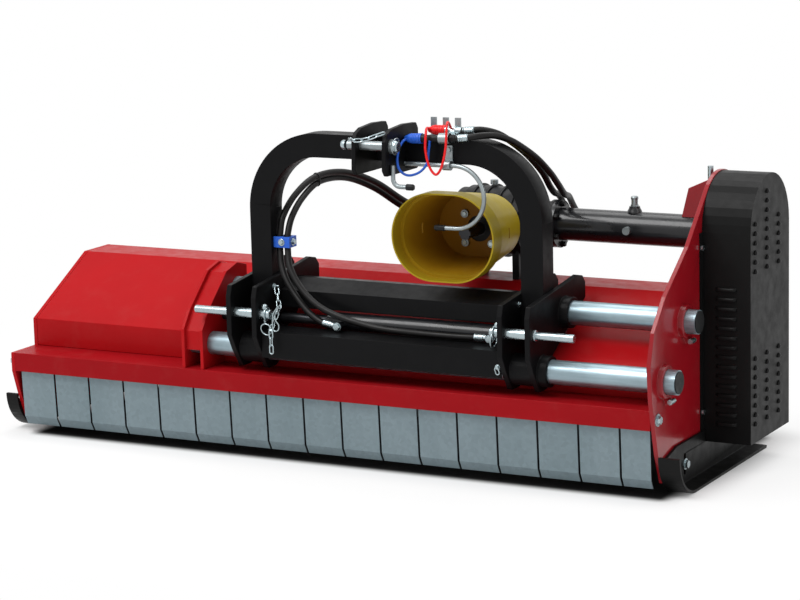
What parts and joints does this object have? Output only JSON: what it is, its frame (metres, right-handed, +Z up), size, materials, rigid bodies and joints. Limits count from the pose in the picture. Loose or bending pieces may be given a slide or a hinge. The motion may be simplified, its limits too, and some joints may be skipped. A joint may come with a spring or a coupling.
{
  "type": "flail mower",
  "caption": "Tractor-mounted side-shift flail mower: a folded hood over a hinged-flap mouth and hammer rotor, with a sliding linkage arch, gearbox, belt drive, skids and rear roller.",
  "frame": {"origin": "middle of the overall footprint, on the ground", "axes": "+X along the rotor towards the belt drive, +Y from the tractor side to the rear roller, +Z up"},
  "size_m": [2.1822, 0.8948, 0.952],
  "materials": {
    "red_paint": "gloss",
    "black_paint": "satin",
    "galvanised_sheet": "matt galvanised",
    "zinc_steel": "bright zinc",
    "bare_steel": "machined",
    "cast_iron": "machined",
    "black_rubber": "matt",
    "black_plastic": "matt",
    "yellow_plastic": "satin",
    "blue_plastic": "satin",
    "red_plastic": "satin"
  },
  "bodies": {
    "deck": {"hood": "red_paint", "front_beam": "red_paint", "left_side_plate": "red_paint", "right_side_plate": "red_paint", "left_bar_bracket": "red_paint", "slide_bars": "zinc_steel", "bar_end_caps": "black_plastic", "flap_rod": "zinc_steel", "skids": "black_paint", "roller_arms": "black_paint", "rotor_bearings": "black_paint", "drive_belts": "black_rubber", "belt_cover": "black_paint", "deck_bolts": "zinc_steel", "gearbox_housing": "black_paint", "pto_guard": "yellow_plastic", "transmission_tube": "black_paint", "gearbox_fittings": "zinc_steel", "cylinder_rod": "zinc_steel"},
    "carriage": {"arch": "black_paint", "carriage_beams": "black_paint", "left_hitch_bracket": "black_paint", "right_hitch_bracket": "black_paint", "top_link_bracket": "black_paint", "top_link_pin": "zinc_steel", "lower_link_pins": "zinc_steel", "retainer_chains": "zinc_steel", "cylinder_barrel": "black_paint", "hose_left": "black_rubber", "hose_right": "black_rubber", "hanger_brackets": "zinc_steel", "blue_coupler": "blue_plastic", "red_coupler": "red_plastic", "hose_clamp": "blue_plastic"},
    "hook": {"shaft_hook": "zinc_steel"},
    "rotor": {"rotor_drum": "black_paint", "flails": "bare_steel", "flail_bolts": "bare_steel", "rotor_pulley": "cast_iron"},
    "drive": {"cross_shaft": "bare_steel", "drive_pulley": "cast_iron"},
    "power_shaft": {"pto_shaft": "bare_steel"},
    "roller": {"rear_roller": "black_paint"},
    "flap_01": {"flap_01": "galvanised_sheet"},
    "flap_02": {"flap_02": "galvanised_sheet"},
    "flap_03": {"flap_03": "galvanised_sheet"},
    "flap_04": {"flap_04": "galvanised_sheet"},
    "flap_05": {"flap_05": "galvanised_sheet"},
    "flap_06": {"flap_06": "galvanised_sheet"},
    "flap_07": {"flap_07": "galvanised_sheet"},
    "flap_08": {"flap_08": "galvanised_sheet"},
    "flap_09": {"flap_09": "galvanised_sheet"},
    "flap_10": {"flap_10": "galvanised_sheet"},
    "flap_11": {"flap_11": "galvanised_sheet"},
    "flap_12": {"flap_12": "galvanised_sheet"},
    "flap_13": {"flap_13": "galvanised_sheet"},
    "flap_14": {"flap_14": "galvanised_sheet"},
    "flap_15": {"flap_15": "galvanised_sheet"},
    "flap_16": {"flap_16": "galvanised_sheet"},
    "flap_17": {"flap_17": "galvanised_sheet"}
  },
  "joints": [
    {"name": "side_shift", "type": "slide", "parent": "deck", "child": "carriage", "axis": [1, 0, 0], "range_m": [-0.04, 0.15]},
    {"name": "hook_swing", "type": "hinge", "parent": "carriage", "child": "hook", "pos_m": [0.2705, -0.3365, 0.833], "axis": [1, 0, 0], "range_deg": [-95, 0]},
    {"name": "rotor_spin", "type": "hinge", "parent": "deck", "child": "rotor", "pos_m": [-0.0295, 0.0505, 0.225], "axis": [1, 0, 0], "continuous": true},
    {"name": "drive_spin", "type": "hinge", "parent": "deck", "child": "drive", "pos_m": [0.6705, 0.0505, 0.625], "axis": [1, 0, 0], "continuous": true},
    {"name": "power_spin", "type": "hinge", "parent": "deck", "child": "power_shaft", "pos_m": [0.3035, -0.1225, 0.625], "axis": [0, 1, 0], "continuous": true},
    {"name": "roller_spin", "type": "hinge", "parent": "deck", "child": "roller", "pos_m": [-0.0295, 0.3775, 0.07], "axis": [1, 0, 0], "continuous": true},
    {"name": "flap_01_swing", "type": "hinge", "parent": "deck", "child": "flap_01", "pos_m": [-0.9703, -0.4025, 0.212], "axis": [1, 0, 0], "range_deg": [0, 60]},
    {"name": "flap_02_swing", "type": "hinge", "parent": "deck", "child": "flap_02", "pos_m": [-0.8527, -0.4025, 0.212], "axis": [1, 0, 0], "range_deg": [0, 60]},
    {"name": "flap_03_swing", "type": "hinge", "parent": "deck", "child": "flap_03", "pos_m": [-0.7351, -0.4025, 0.212], "axis": [1, 0, 0], "range_deg": [0, 60]},
    {"name": "flap_04_swing", "type": "hinge", "parent": "deck", "child": "flap_04", "pos_m": [-0.6175, -0.4025, 0.212], "axis": [1, 0, 0], "range_deg": [0, 60]},
    {"name": "flap_05_swing", "type": "hinge", "parent": "deck", "child": "flap_05", "pos_m": [-0.4999, -0.4025, 0.212], "axis": [1, 0, 0], "range_deg": [0, 60]},
    {"name": "flap_06_swing", "type": "hinge", "parent": "deck", "child": "flap_06", "pos_m": [-0.3823, -0.4025, 0.212], "axis": [1, 0, 0], "range_deg": [0, 60]},
    {"name": "flap_07_swing", "type": "hinge", "parent": "deck", "child": "flap_07", "pos_m": [-0.2647, -0.4025, 0.212], "axis": [1, 0, 0], "range_deg": [0, 60]},
    {"name": "flap_08_swing", "type": "hinge", "parent": "deck", "child": "flap_08", "pos_m": [-0.1471, -0.4025, 0.212], "axis": [1, 0, 0], "range_deg": [0, 60]},
    {"name": "flap_09_swing", "type": "hinge", "parent": "deck", "child": "flap_09", "pos_m": [-0.0295, -0.4025, 0.212], "axis": [1, 0, 0], "range_deg": [0, 60]},
    {"name": "flap_10_swing", "type": "hinge", "parent": "deck", "child": "flap_10", "pos_m": [0.0881, -0.4025, 0.212], "axis": [1, 0, 0], "range_deg": [0, 60]},
    {"name": "flap_11_swing", "type": "hinge", "parent": "deck", "child": "flap_11", "pos_m": [0.2057, -0.4025, 0.212], "axis": [1, 0, 0], "range_deg": [0, 60]},
    {"name": "flap_12_swing", "type": "hinge", "parent": "deck", "child": "flap_12", "pos_m": [0.3233, -0.4025, 0.212], "axis": [1, 0, 0], "range_deg": [0, 60]},
    {"name": "flap_13_swing", "type": "hinge", "parent": "deck", "child": "flap_13", "pos_m": [0.4409, -0.4025, 0.212], "axis": [1, 0, 0], "range_deg": [0, 60]},
    {"name": "flap_14_swing", "type": "hinge", "parent": "deck", "child": "flap_14", "pos_m": [0.5585, -0.4025, 0.212], "axis": [1, 0, 0], "range_deg": [0, 60]},
    {"name": "flap_15_swing", "type": "hinge", "parent": "deck", "child": "flap_15", "pos_m": [0.6761, -0.4025, 0.212], "axis": [1, 0, 0], "range_deg": [0, 60]},
    {"name": "flap_16_swing", "type": "hinge", "parent": "deck", "child": "flap_16", "pos_m": [0.7937, -0.4025, 0.212], "axis": [1, 0, 0], "range_deg": [0, 60]},
    {"name": "flap_17_swing", "type": "hinge", "parent": "deck", "child": "flap_17", "pos_m": [0.9113, -0.4025, 0.212], "axis": [1, 0, 0], "range_deg": [0, 60]}
  ],
  "couplings": [
    {"joint": "drive_spin", "follows": "rotor_spin", "ratio": 0.78261},
    {"joint": "power_spin", "follows": "rotor_spin", "ratio": 0.26087}
  ]
}
